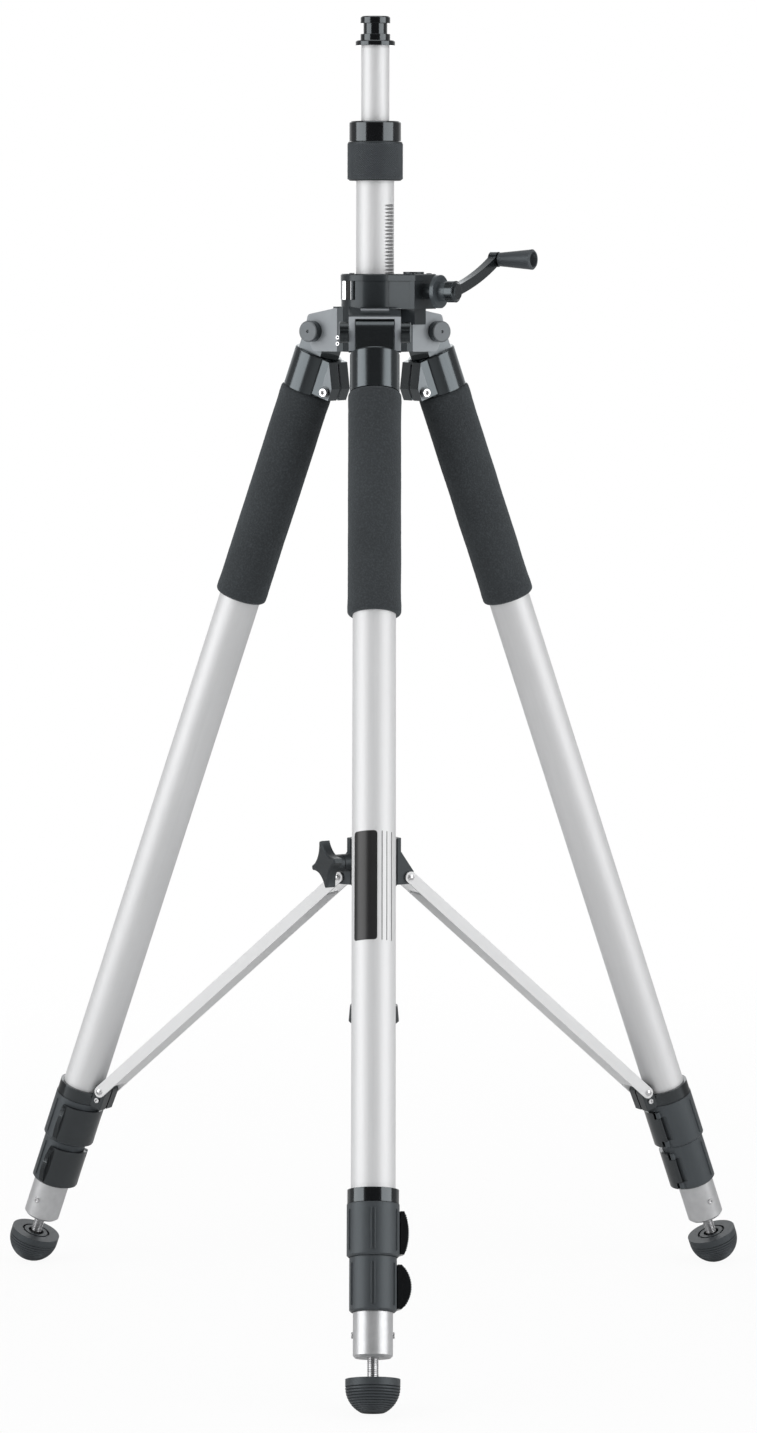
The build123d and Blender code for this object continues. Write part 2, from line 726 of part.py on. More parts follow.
# Brace slider: a sleeve with three lugs and the boss of its clamping knob
slider_bore = guide_radius + slide_gap
slider_radius = slider_bore + slider_wall
slider_top = slider_bottom + slider_height
lug_reach = brace_pin_radius_at_slider + brace_end_radius
knob_out = Vector(cos(radians(knob_azimuth)), sin(radians(knob_azimuth)), 0)
knob_plane = Plane(origin=(0, 0, knob_height), x_dir=(0, 0, 1), z_dir=knob_out)
with BuildPart() as slider_lug:
    with BuildSketch(Plane.XZ):
        with BuildLine():
            Polyline(
                (guide_radius, slider_bottom),
                (lug_reach - lug_chamfer, slider_bottom),
                (lug_reach, brace_pin_height_at_slider),
                (lug_reach - lug_chamfer, brace_pin_height_at_slider + brace_end_radius),
                (slider_radius + slider_shoulder, slider_top - slider_straight),
                (slider_radius + slider_shoulder, slider_top),
                (guide_radius, slider_top),
                close=True,
            )
        make_face()
    extrude(amount=lug_half, both=True)
with BuildPart() as brace_slider:
    with BuildSketch(Plane.XY.offset(slider_bottom)):
        Circle(slider_radius)
    extrude(amount=slider_height)
    with PolarLocations(0, len(leg_azimuths), start_angle=leg_azimuths["front"]):
        add(slider_lug.part)
    with BuildSketch(knob_plane):
        Circle(knob_boss_radius)
    extrude(amount=knob_boss_end)
    with BuildSketch(Plane.XY.offset(slider_bottom)):
        Circle(slider_bore)
    extrude(amount=slider_height, mode=Mode.SUBTRACT)
    with BuildSketch(knob_plane):
        Circle(knob_screw_radius + running_gap)
    extrude(amount=knob_boss_end, mode=Mode.SUBTRACT)

# Star knob with its screw, drawn along +Z from the column's axis
with BuildPart() as slider_knob:
    with BuildSketch(Plane.XY.offset(slider_bore)):
        Circle(knob_screw_radius)
    extrude(amount=knob_start - slider_bore)
    with BuildSketch(Plane.XY.offset(knob_boss_end + slide_gap)):
        Circle(knob_boss_radius)
    extrude(amount=knob_start - knob_boss_end - slide_gap)
    with BuildSketch(Plane.XY.offset(knob_start)):
        Circle(knob_radius)
        with PolarLocations(knob_scallop_offset, knob_lobes, start_angle=knob_scallop_start):
            Circle(knob_scallop_radius, mode=Mode.SUBTRACT)
    extrude(amount=knob_thickness)
    chamfer(slider_knob.faces().sort_by(Axis.Z)[-1].edges(), length=knob_chamfer)

# Column with the rack milled across its side, facing the crank
rack_plane = Plane(origin=(0, 0, crank_height), x_dir=outward, z_dir=sideways * -1)
rack_root = column_radius - 2.25 * rack_module
rack_flank = tan(radians(20))
rack_gap_half = rack_pitch / 4 + rack_backlash / 4
grooves_above = int((rack_top - crank_height) / rack_pitch)
grooves_below = int(rack_stroke / rack_pitch) + 5
with BuildPart() as column_tube:
    with BuildSketch(Plane.XY.offset(column_bottom)):
        Circle(column_radius)
        Circle(column_bore / 2, mode=Mode.SUBTRACT)
    extrude(amount=column_top - column_bottom)
    with BuildSketch(rack_plane):
        with Locations(*[(0, n * rack_pitch) for n in range(-grooves_below, grooves_above + 1)]):
            Polygon(
                (rack_root, -rack_gap_half + 1.25 * rack_module * rack_flank),
                (column_radius + rack_module, -rack_gap_half - 2 * rack_module * rack_flank),
                (column_radius + rack_module, rack_gap_half + 2 * rack_module * rack_flank),
                (rack_root, rack_gap_half - 1.25 * rack_module * rack_flank),
                align=None,
            )
    extrude(amount=column_radius, both=True, mode=Mode.SUBTRACT)

# Mast clamp: a ring with a threaded sleeve on the column, and the knurled nut around the sleeve
mast_radius = mast_od / 2
sleeve_bore = column_radius + seat_gap
sleeve_radius = sleeve_bore + clamp_sleeve_wall
nut_top = nut_bottom + nut_height
ring_bottom = nut_top + slide_gap
sleeve_end = nut_bottom + nut_lip + slide_gap
mast_clamp_ring = turned([
    (mast_radius + slide_gap, ring_bottom + clamp_ring_height),
    (clamp_ring_radius - clamp_ring_chamfer, ring_bottom + clamp_ring_height),
    (clamp_ring_radius, ring_bottom + clamp_ring_height - clamp_ring_chamfer),
    (clamp_ring_radius, ring_bottom),
    (sleeve_radius, ring_bottom),
    (sleeve_radius, sleeve_end),
    (sleeve_bore, sleeve_end),
    (sleeve_bore, column_top + seat_gap),
    (mast_radius + slide_gap, column_top + seat_gap),
])
mast_clamp_nut = turned([
    (column_radius + slide_gap, nut_bottom),
    (nut_radius - nut_chamfer, nut_bottom),
    (nut_radius, nut_bottom + nut_chamfer),
    (nut_radius, nut_top - nut_chamfer / 2),
    (nut_radius - nut_chamfer / 2, nut_top),
    (sleeve_radius + running_gap, nut_top),
    (sleeve_radius + running_gap, nut_bottom + nut_lip),
    (column_radius + slide_gap, nut_bottom + nut_lip),
])

# Mast, head plate with its stud, and the spool-shaped cap over the stud
mast_bore = mast_radius - mast_wall
mast_tube = tube(mast_radius, mast_bore, plate_height, mast_bottom)
plate_top = plate_height + plate_thickness
head_plate = turned([
    (0, plate_height - plug_depth),
    (mast_bore - seat_gap, plate_height - plug_depth),
    (mast_bore - seat_gap, plate_height),
    (plate_radius, plate_height),
    (plate_radius, plate_top - plate_chamfer),
    (plate_radius - plate_chamfer, plate_top),
    (cap_radius + slide_gap, plate_top),
    (cap_radius + slide_gap, plate_top - seat_recess),
    (stud_radius, plate_top - seat_recess),
    (stud_radius, plate_top + stud_length),
    (0, plate_top + stud_length),
])
cap_bottom = plate_top - seat_recess + slide_gap
cap_top = cap_bottom + cap_height
stud_room = plate_top + stud_length + slide_gap
thread_cap = turned([
    (stud_radius + running_gap, cap_bottom),
    (cap_radius, cap_bottom),
    (cap_radius, cap_bottom + cap_flange),
    (cap_neck_radius, cap_bottom + cap_flange),
    (cap_neck_radius, cap_top - cap_flange),
    (cap_radius, cap_top - cap_flange),
    (cap_radius, cap_top - cap_chamfer),
    (cap_radius - cap_chamfer, cap_top),
    (0, cap_top),
    (0, stud_room),
    (stud_radius + running_gap, stud_room),
])


def bevel_gear(teeth, radius, mate_radius, first_gap):
    """A bevel gear about +Z with its pitch cone's tip at the origin, teeth cut by tapering gaps."""
    cone = atan2(radius, mate_radius)
    slant = hypot(radius, mate_radius)
    along = Vector(sin(cone), 0, cos(cone))
    off = Vector(cos(cone), 0, -sin(cone))
    addendum = 0.75 * bevel_module
    dedendum = 1.05 * bevel_module
    flank = tan(radians(25))
    half = pi * bevel_module / 4 + bevel_backlash / 4
    inner = (slant - bevel_face) / slant
    with BuildPart() as gap:
        for scale in (1.25, 0.6):
            with BuildSketch(Plane(origin=along * slant * scale, x_dir=off, z_dir=along)):
                Polygon(
                    (-dedendum * scale, -(half - dedendum * flank) * scale),
                    (2 * addendum * scale, -(half + 2 * addendum * flank) * scale),
                    (2 * addendum * scale, (half + 2 * addendum * flank) * scale),
                    (-dedendum * scale, (half - dedendum * flank) * scale),
                    align=None,
                )
        loft()
    tip_outer = along * slant + off * addendum
    tip_inner = tip_outer * inner
    root_outer = along * slant - off * 2 * dedendum
    root_inner = (along * slant - off * dedendum) * inner
    with BuildPart() as gear:
        with BuildSketch(Plane.XZ):
            with BuildLine():
                Polyline(
                    (0, root_inner.Z),
                    (root_inner.X, root_inner.Z),
                    (tip_inner.X, tip_inner.Z),
                    (tip_outer.X, tip_outer.Z),
                    (root_outer.X, root_outer.Z),
                    (0, root_outer.Z),
                    close=True,
                )
            make_face()
        revolve(axis=Axis.Z)
        with PolarLocations(0, teeth, start_angle=first_gap):
            add(gap.part, mode=Mode.SUBTRACT)
    return gear


# Pinion shaft: the spur pinion that drives the rack, and the bevel wheel beside it
wheel_gear = bevel_gear(wheel_teeth, wheel_radius, crown_radius, 180 / wheel_teeth)
with BuildPart() as pinion_shaft:
    with BuildSketch(Plane.XY.offset(-pinion_half_width)):
        Circle(pinion_tip)
        with PolarLocations(0, pinion_teeth, start_angle=180 / pinion_teeth):
            Polygon(
                (pinion_root, -0.35 * rack_module),
                (pinion_radius, -0.9 * rack_module),
                (pinion_tip + 0.1, -1.6 * rack_module),
                (pinion_tip + 0.1, 1.6 * rack_module),
                (pinion_radius, 0.9 * rack_module),
                (pinion_root, 0.35 * rack_module),
                align=None,
                mode=Mode.SUBTRACT,
            )
    extrude(amount=2 * pinion_half_width)
    shaft_end = gearbox_half - gearbox_wall / 2 - slide_gap
    with BuildSketch(Plane.XY.offset(-shaft_end)):
        Circle(pinion_shaft_radius)
    extrude(amount=2 * shaft_end)
    add(wheel_gear.part)

# Crank shaft: the crown bevel inside, then the shaft, brake disc and barrel outside
crown_gear = bevel_gear(crown_teeth, crown_radius, wheel_radius, 0)
crown_front = pinion_tip + slide_gap
with BuildPart() as crank_shaft:
    add(crown_gear.part)
    with BuildSketch(Plane.XY):
        Circle(crown_radius - bevel_face - bevel_module)
    extrude(amount=crown_front, mode=Mode.SUBTRACT)
    with BuildSketch(Plane.XY.offset(crown_front)):
        Circle(crank_shaft_radius)
    extrude(amount=crank_barrel_end - pinion_out - crown_front)
    with BuildSketch(Plane.XY.offset(brake_disc_start - pinion_out)):
        Circle(brake_disc_radius)
    extrude(amount=brake_disc_thickness)
    with BuildSketch(Plane.XY.offset(brake_disc_start + brake_disc_thickness - pinion_out)):
        Circle(crank_barrel_radius)
    extrude(amount=crank_barrel_end - brake_disc_start - brake_disc_thickness)

# Crank arm: a flat curved arm from the shaft's end to the grip's pin, with a low cap on its eye
arm_start = crank_barrel_end + seat_gap
arm_end = arm_start + arm_thickness
grip_start = arm_end + slide_gap
with BuildPart() as crank_arm:
    with BuildSketch(Plane.XY.offset(arm_start)):
        with BuildLine():
            Spline(
                (0, 0),
                (crank_throw_side, crank_throw_up),
                tangents=((1, 0.22), (1, 0.55)),
            )
        trace(line_width=arm_width)
        Circle(arm_eye_radius)
        with Locations((crank_throw_side, crank_throw_up)):
            Circle(arm_tip_radius)
    extrude(amount=arm_thickness)
    with BuildSketch(Plane.XY.offset(arm_end)):
        Circle(arm_cap_radius)
    extrude(amount=arm_cap_height, taper=arm_cap_taper)
    with BuildSketch(Plane.XY.offset(arm_end)):
        with Locations((crank_throw_side, crank_throw_up)):
            Circle(grip_pin_radius)
    extrude(amount=grip_pin_length)

# Crank grip: a flared handle with a deep recess in its end, turning on the pin
grip_end = grip_start + crank_grip_length
pin_room = arm_end + grip_pin_length + slide_gap
crank_grip = turned([
    (grip_pin_radius + running_gap, grip_start),
    (crank_grip_small - crank_grip_rim, grip_start),
    (crank_grip_small, grip_start + crank_grip_rim),
    (crank_grip_large, grip_end - crank_grip_rim),
    (crank_grip_large - crank_grip_rim, grip_end),
    (crank_grip_large - 2 * crank_grip_rim, grip_end),
    (crank_grip_large - 3 * crank_grip_rim, grip_end - crank_grip_recess),
    (0, grip_end - crank_grip_recess),
    (0, pin_room),
    (grip_pin_radius + running_gap, pin_room),
])

# Places of the pieces: each leg tilts about its hinge, each brace about its pin on the leg
leg_places = {}
brace_places = {}
for leg, azimuth in leg_azimuths.items():
    turn = Location((0, 0, 0), (0, 0, azimuth))
    leg_places[leg] = turn * Location((hinge_radius, 0, 0), (0, -leg_tilt, 0))
    brace_places[leg] = turn * Location((leg_pin_r, 0, leg_pin_z), (0, -brace_lean, 0))

# The stand is lowered until its feet touch the floor and centred on its own outline
foot_boxes = [rubber_foot.part.moved(place).bounding_box() for place in leg_places.values()]
floor = min(box.min.Z for box in foot_boxes)
middle_y = (min(box.min.Y for box in foot_boxes) + max(box.max.Y for box in foot_boxes)) / 2
stand = Location((0, -middle_y, -floor))


def finish(piece, name, place=Location()):
    """Set a finished piece in its place on the stand, name it and write it."""
    with BuildPart() as placed:
        add(piece.part.moved(stand * place))
    placed.part.label = name
    export_step(placed.part, f"parts/{name}.step")


finish(hub_casting, "hub_casting")
finish(hub_cover, "hub_cover")
finish(bubble_level, "bubble_level")
finish(leg_hinge_bolts, "leg_hinge_bolts")
finish(guide_tube, "guide_tube")
finish(guide_end_ring, "guide_end_ring")
finish(brace_slider, "brace_slider")
finish(slider_knob, "slider_knob", knob_plane.location)
finish(column_tube, "column_tube")
finish(mast_clamp_ring, "mast_clamp_ring")
finish(mast_clamp_nut, "mast_clamp_nut")
finish(mast_tube, "mast_tube")
finish(head_plate, "head_plate")
finish(thread_cap, "thread_cap")

drive = crank_plane.location * Location((0, 0, pinion_out))
finish(pinion_shaft, "pinion_shaft", drive * Location((0, 0, 0), (0, 90, 0)))
finish(crank_shaft, "crank_shaft", drive)
finish(crank_arm, "crank_arm", crank_plane.location)
finish(crank_grip, "crank_grip", crank_plane.location * Location((crank_throw_side, crank_throw_up, 0)))

leg_pieces = {
    "leg_head": leg_head,
    "upper_tube": upper_tube,
    "foam_grip": foam_grip,
    "brace_collar": brace_collar,
    "upper_clamp": upper_clamp,
    "upper_lever": upper_lever,
    "middle_tube": middle_tube,
    "lower_clamp": lower_clamp,
    "lower_lever": lower_lever,
    "lower_tube": lower_tube,
    "foot_ferrule": ferrule,
    "foot_spindle": spindle,
    "rubber_foot": rubber_foot,
}
for leg in leg_azimuths:
    for piece_name, piece in leg_pieces.items():
        finish(piece, f"{leg}_{piece_name}", leg_places[leg])
    finish(brace, f"{leg}_brace", brace_places[leg])
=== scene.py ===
import json
from math import asin, cos, pi, radians, sin

import bpy
from mathutils import Matrix, Vector, noise


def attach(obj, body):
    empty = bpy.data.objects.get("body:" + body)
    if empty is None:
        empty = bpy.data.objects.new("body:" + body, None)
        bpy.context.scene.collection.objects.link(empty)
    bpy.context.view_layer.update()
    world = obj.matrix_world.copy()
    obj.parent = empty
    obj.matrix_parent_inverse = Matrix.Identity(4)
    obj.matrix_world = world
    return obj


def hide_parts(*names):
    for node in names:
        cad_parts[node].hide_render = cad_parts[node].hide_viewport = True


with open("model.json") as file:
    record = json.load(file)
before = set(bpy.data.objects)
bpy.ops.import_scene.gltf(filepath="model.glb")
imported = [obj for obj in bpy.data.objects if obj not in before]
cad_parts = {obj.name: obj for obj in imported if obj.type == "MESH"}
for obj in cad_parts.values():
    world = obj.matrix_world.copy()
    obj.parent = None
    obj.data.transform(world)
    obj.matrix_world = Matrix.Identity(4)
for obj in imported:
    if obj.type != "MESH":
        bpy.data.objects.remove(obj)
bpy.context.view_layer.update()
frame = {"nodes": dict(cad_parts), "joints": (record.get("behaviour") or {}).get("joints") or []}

# Studio: a pale seamless floor, two tall softboxes left and right of the stand, weaker lights above,
# in front and behind, and a white surround that is dimmer on the camera's side.
scene = bpy.context.scene
scene.view_settings.view_transform = "Standard"


class Wire:
    """One output of a node in a tree; arithmetic on wires adds Math nodes."""

    def __init__(self, tree, socket=None):
        self.tree = tree
        self.socket = socket

    def node(self, kind, inputs=None, out=0, **settings):
        """Add a node of that kind, set it up, fill its sockets and return one of its outputs."""
        made = self.tree.nodes.new(kind)
        for name, value in settings.items():
            setattr(made, name, value)
        self.fill(made, inputs or {})
        return Wire(self.tree, made.outputs[out])

    def fill(self, node, inputs):
        """Link or set the named sockets of a node."""
        for key, value in inputs.items():
            if isinstance(value, Wire):
                self.tree.links.new(value.socket, node.inputs[key])
            else:
                node.inputs[key].default_value = value

    def math(self, operation, first, second=0.0):
        return self.node("ShaderNodeMath", {0: first, 1: second}, operation=operation)

    def __add__(self, other):
        return self.math("ADD", self, other)

    def __radd__(self, other):
        return self.math("ADD", other, self)

    def __sub__(self, other):
        return self.math("SUBTRACT", self, other)

    def __rsub__(self, other):
        return self.math("SUBTRACT", other, self)

    def __mul__(self, other):
        return self.math("MULTIPLY", self, other)

    def __rmul__(self, other):
        return self.math("MULTIPLY", other, self)

    def __truediv__(self, other):
        return self.math("DIVIDE", self, other)

    def __rtruediv__(self, other):
        return self.math("DIVIDE", other, self)

    def __gt__(self, other):
        return self.math("GREATER_THAN", self, other)

    def __lt__(self, other):
        return self.math("LESS_THAN", self, other)

    def __abs__(self):
        return self.math("ABSOLUTE", self)

    def ramp(self, start, end, low=0.0, high=1.0, ease="LINEAR"):
        """A value that goes from low to high as this wire goes from start to end."""
        return self.node("ShaderNodeMapRange", {0: self, 1: start, 2: end, 3: low, 4: high},
                         interpolation_type=ease)

    def blend(self, low, high):
        """A colour that goes from low to high as this wire goes from 0 to 1."""
        return self.node("ShaderNodeMix", {0: self, 6: low, 7: high}, out=2, data_type="RGBA")


def tinted(red, green, blue):
    return (red, green, blue, 1.0)


surround = bpy.data.worlds.new("white_surround")
surround.use_nodes = True
scene.world = surround
sky = Wire(surround.node_tree)
sight = sky.node("ShaderNodeLightPath", out="Is Camera Ray")
mirror = sky.node("ShaderNodeLightPath", out="Is Glossy Ray")
through = sky.node("ShaderNodeLightPath", out="Is Transmission Ray")
bearing = sky.node("ShaderNodeTexCoord", out="Generated")
depth = sky.node("ShaderNodeSeparateXYZ", {0: bearing}, out=1)
walls = depth.ramp(-0.9, -0.2, 0.05, 0.26, "SMOOTHSTEP")
backdrop = depth.ramp(0.5, 0.85, 0.0, 0.40, "SMOOTHSTEP")
fill_level = 0.33
shown = sky.math("MAXIMUM", mirror, through)
level = fill_level * (1 - shown) + (walls + backdrop) * shown
level = sky.math("MAXIMUM", level, sight)
sky.fill(surround.node_tree.nodes["Background"], {0: tinted(1.0, 1.0, 1.0), 1: level})

floor_paint = bpy.data.materials.new("floor_paint")
floor_paint.use_nodes = True
floor_nodes = floor_paint.node_tree.nodes
paper = Wire(floor_paint.node_tree)
mirrored = paper.node("ShaderNodeLightPath", out="Is Glossy Ray")
pale, pale_in_gloss = tinted(0.9, 0.9, 0.9), tinted(0.58, 0.58, 0.58)
paper.fill(floor_nodes["Principled BSDF"],
           {"Base Color": mirrored.blend(pale, pale_in_gloss), "Roughness": 0.9})
shaded = Wire(floor_paint.node_tree, floor_nodes["Principled BSDF"].outputs[0])
clear = paper.node("ShaderNodeBsdfTransparent")
afar = paper.node("ShaderNodeVectorMath", {0: paper.node("ShaderNodeTexCoord", out="Object")},
                  out="Value", operation="LENGTH")
share = afar.ramp(0.3, 1.6, 0.93, 1.0) * paper.node("ShaderNodeLightPath", out="Is Camera Ray")
paper.fill(floor_nodes["Material Output"],
           {"Surface": paper.node("ShaderNodeMixShader", {0: share, 1: shaded, 2: clear})})

floor_half = 9.0
floor_mesh = bpy.data.meshes.new("floor")
floor_mesh.from_pydata([(x * floor_half, y * floor_half, 0) for x, y in ((-1, -1), (1, -1), (1, 1), (-1, 1))],
                       [], [(0, 1, 2, 3)])
floor_mesh.materials.append(floor_paint)
floor = bpy.data.objects.new("floor", floor_mesh)
scene.collection.objects.link(floor)


def softbox(name, place, aim, width, height, watts):
    """A rectangular lamp that faces the aimed point."""
    lamp = bpy.data.lights.new(name, "AREA")
    lamp.shape = "RECTANGLE"
    lamp.size, lamp.size_y, lamp.energy = width, height, watts
    holder = bpy.data.objects.new(name, lamp)
    holder.location = place
    holder.rotation_euler = (Vector(aim) - Vector(place)).to_track_quat("-Z", "Y").to_euler()
    scene.collection.objects.link(holder)


stand_middle, stand_hub, stand_front = (0.0, 0.07, 0.5), (0.0, 0.07, 0.72), (0.0, 0.0, 0.7)
softbox("softbox_left", (-1.72, -0.68, 0.94), stand_hub, 1.75, 1.84, 24.0)
softbox("softbox_right", (1.66, -0.86, 0.94), stand_hub, 1.75, 1.84, 22.8)
softbox("softbox_top", (0.0, 0.1, 2.7), stand_middle, 1.6, 1.6, 9.0)
softbox("softbox_front", (0.0, -2.1, 1.86), stand_front, 1.5, 0.36, 1.4)
softbox("softbox_back", (0.0, 2.6, 1.05), stand_hub, 1.9, 1.9, 12.0)

image_height, focal_pixels = 1433, 4412.5
look_down, roll = radians(6.008), radians(-0.099)
lens = bpy.data.cameras.new("camera")
lens.sensor_width = 36.0
lens.lens = lens.sensor_width * focal_pixels / image_height
camera = bpy.data.objects.new("camera", lens)
camera.location = (0.00246, -3.0722, 0.7632)
camera.rotation_euler = (pi / 2 - look_down, roll, 0.0)
scene.collection.objects.link(camera)
scene.camera = camera

# Hub: one black aluminium die casting with three forks and a gearbox, a screwed-on cover plate, and
# a hinge bolt with round end caps across each fork, held by two set screws. The forks' flats are
# ground to bare satin metal.
joint_at = {joint["name"]: Vector(joint["pos_m"]) for joint in frame["joints"] if "pos_m" in joint}
column_axis = joint_at["mast_nut_turn"] * Vector((1, 1, 0))
hinge_height = joint_at["front_fold"].z
hub_place = Matrix.Translation(column_axis + Vector((0, 0, hinge_height)))
leg_azimuths = {"front": -90, "right": 30, "left": 150}
legs = list(leg_azimuths)
upward = Vector((0, 0, 1))


def around(azimuth, x, y, z):
    """A point or a direction turned about the upright axis."""
    return Matrix.Rotation(radians(azimuth), 3, "Z") @ Vector((x, y, z))


def finish(name, **fixed):
    """A new Principled material; its constant sockets are set here, named with _ for a space."""
    material = bpy.data.materials.new(name)
    material.use_nodes = True
    wire = Wire(material.node_tree)
    shader = material.node_tree.nodes["Principled BSDF"]
    wire.fill(shader, {socket.replace("_", " "): value for socket, value in fixed.items()})
    return material, wire, shader


def paint(nodes, material):
    """Give CAD nodes their material."""
    for name in nodes:
        slots = frame["nodes"][name].data.materials
        slots.clear()
        slots.append(material)


def surface(wire):
    """Where a point of the surface is, in the stand's frame."""
    return wire.node("ShaderNodeTexCoord", out="Object")


def grain(wire, scale, detail=2.0, vector=None):
    """Noise over the surface, about 1 / scale metres wide."""
    spot = vector or surface(wire)
    return wire.node("ShaderNodeTexNoise", {"Vector": spot, "Scale": scale, "Detail": detail}, out="Fac")


def relief(wire, height, strength, distance, rounding=None):
    """A normal with that height as fine relief, over edges rounded by a small radius."""
    inputs = {"Height": height, "Strength": strength, "Distance": distance}
    if rounding:
        inputs["Normal"] = wire.node("ShaderNodeBevel", {"Radius": rounding}, samples=4)
    return wire.node("ShaderNodeBump", inputs)


def reach(wire, vector, axis, origin=Vector()):
    """How far a position or a normal reaches along an axis, from an origin."""
    length = wire.node("ShaderNodeVectorMath", {0: vector, 1: axis}, out="Value", operation="DOT_PRODUCT")
    return length - axis.dot(origin)


def shades(tones, red, blue):
    """Colours of those grey tones, with their red and blue scaled."""
    return [tinted(red * tone, tone, blue * tone) for tone in tones]


cool = tinted(0.86, 0.95, 1.0)


def casting(name, blacks, greys, rough, ior, flats=None):
    """Black finish on a casting; where the flats function gives 1, the metal is ground and grey."""
    material, wire, shader = finish(name, IOR=ior, Specular_Tint=cool, Coat_Weight=0.3,
                                    Coat_Roughness=0.12, Coat_Tint=cool)
    mottle = grain(wire, 70.0, 3.0)
    colour = mottle.blend(*shades(blacks, 0.90, 1.08))
    gloss = rough + 0.05 * grain(wire, 210.0, 3.0)
    if flats:
        bare = flats(wire, surface(wire), wire.node("ShaderNodeTexCoord", out="Normal"))
        colour = bare.blend(colour, mottle.blend(*shades(greys, 0.97, 1.04)))
        gloss = gloss + 0.3 * bare
    wire.fill(shader, {
        "Base Color": colour,
        "Roughness": gloss,
        "Normal": relief(wire, grain(wire, 900.0), 0.05, 0.0003, 0.0006),
    })
    return material


fork_sides = [(around(azimuth, 1, 0, 0), around(azimuth, 0, 1, 0)) for azimuth in leg_azimuths.values()]


def fork_flats(wire, spot, normal):
    """The upright faces of the three forks, outside the boss and below the gearbox."""
    fork_start, fork_half, fork_top, slope = 0.0205, 0.0186, 0.0165, 0.5
    found = 0.0
    for out, side in fork_sides:
        far = reach(wire, spot, out, column_axis) > fork_start
        narrow = abs(reach(wire, spot, side, column_axis)) < fork_half
        found = found + far * narrow
    upright = abs(reach(wire, normal, upward)) < slope
    low = reach(wire, spot, upward) < hinge_height + fork_top
    return found * upright * low


def bolt_faces(wire, spot, normal):
    """The end faces of the bolts' caps, without the dimple in each."""
    bolt_start, cap_face, slope = 0.0300, 0.0247, 0.6
    found = 0.0
    for out, side in fork_sides:
        far = reach(wire, spot, out, column_axis) > bolt_start
        square = abs(reach(wire, normal, side)) > slope
        proud = abs(reach(wire, spot, side, column_axis)) > cap_face
        found = found + far * square * proud
    return found


hub_black = casting("cast_black", (0.018, 0.028), (0.33, 0.39), 0.31, 1.45, fork_flats)
bolt_black = casting("bolt_black", (0.004, 0.008), (0.14, 0.17), 0.22, 1.6, bolt_faces)
paint(["hub_casting", "hub_cover"], hub_black)
paint(["leg_hinge_bolts"], bolt_black)


def grown(name, tree, values, base=None):
    """The plain mesh that a geometry tree makes, with its named inputs set."""
    holder = bpy.data.objects.new(name + "_seed", base or bpy.data.meshes.new(name + "_seed"))
    scene.collection.objects.link(holder)
    modifier = holder.modifiers.new(name, "NODES")
    modifier.node_group = tree
    sockets = {s.name: s.identifier for s in tree.interface.items_tree if s.in_out == "INPUT"}
    for label, value in values.items():
        modifier[sockets[label]] = value
    bpy.context.view_layer.update()
    mesh = bpy.data.meshes.new_from_object(holder.evaluated_get(bpy.context.evaluated_depsgraph_get()))
    mesh.name = name
    bpy.data.objects.remove(holder)
    return mesh


def piece(name, mesh, body, place):
    """A finished piece of the stand, its place in its mesh, riding on a body."""
    mesh.transform(place)
    made = bpy.data.objects.new(name, mesh)
    scene.collection.objects.link(made)
    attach(made, body)
    return made


def new_tree(name, sockets):
    """An empty geometry tree with named inputs, and a wire for each of them."""
    tree = bpy.data.node_groups.new(name, "GeometryNodeTree")
    for label, kind in sockets.items():
        tree.interface.new_socket(label, in_out="INPUT", socket_type="NodeSocket" + kind)
    tree.interface.new_socket("Geometry", in_out="OUTPUT", socket_type="NodeSocketGeometry")
    entry = tree.nodes.new("NodeGroupInput")
    return tree, {label: Wire(tree, entry.outputs[label]) for label in sockets}


def close_tree(tree, geometry, material):
    """End a tree in Realize Instances and Set Material."""
    real = geometry.node("GeometryNodeRealizeInstances", {0: geometry})
    dressed = real.node("GeometryNodeSetMaterial", {"Geometry": real, "Material": material})
    dressed.fill(tree.nodes.new("NodeGroupOutput"), {0: dressed})


def smoothed(mesh):
    """The mesh with smooth faces and its corners kept sharp."""
    mesh.shade_smooth()
    mesh.set_sharp_from_angle(angle=radians(35))
    return mesh


def turned(name, outline, steps, material, closed=True):
    """A mesh turned about the upright axis from (radius, height) points, listed from below upwards
    along the outside; points at radius 0 become poles."""
    points, faces, rings = [], [], []
    for radius, height in outline:
        if radius == 0:
            rings.append([len(points)] * steps)
            points.append((0, 0, height))
        else:
            first = len(points)
            rings.append(list(range(first, first + steps)))
            points += [(radius * cos(2 * pi * i / steps), radius * sin(2 * pi * i / steps), height)
                       for i in range(steps)]
    pairs = list(zip(rings, rings[1:]))
    if closed:
        pairs.append((rings[-1], rings[0]))
    for low, high in pairs:
        for i in range(steps):
            j = (i + 1) % steps
            corners = [low[i], low[j], high[j], high[i]]
            face = list(dict.fromkeys(corners))
            if len(face) > 2:
                faces.append(face)
    mesh = bpy.data.meshes.new(name)
    mesh.from_pydata(points, [], faces)
    mesh.materials.append(material)
    return smoothed(mesh)


set_out, given = new_tree("set_out", {"Geometry": "Geometry", "Part": "Object", "Material": "Material"})
part = given["Part"].node("GeometryNodeObjectInfo", {"Object": given["Part"]}, out="Geometry")
turn = part.node("GeometryNodeInputNamedAttribute", {"Name": "turn"}, data_type="FLOAT_VECTOR")
close_tree(set_out, part.node("GeometryNodeInstanceOnPoints", {
    "Points": given["Geometry"], "Instance": part,
    "Rotation": part.node("FunctionNodeEulerToRotation", {0: turn}),
}), given["Material"])


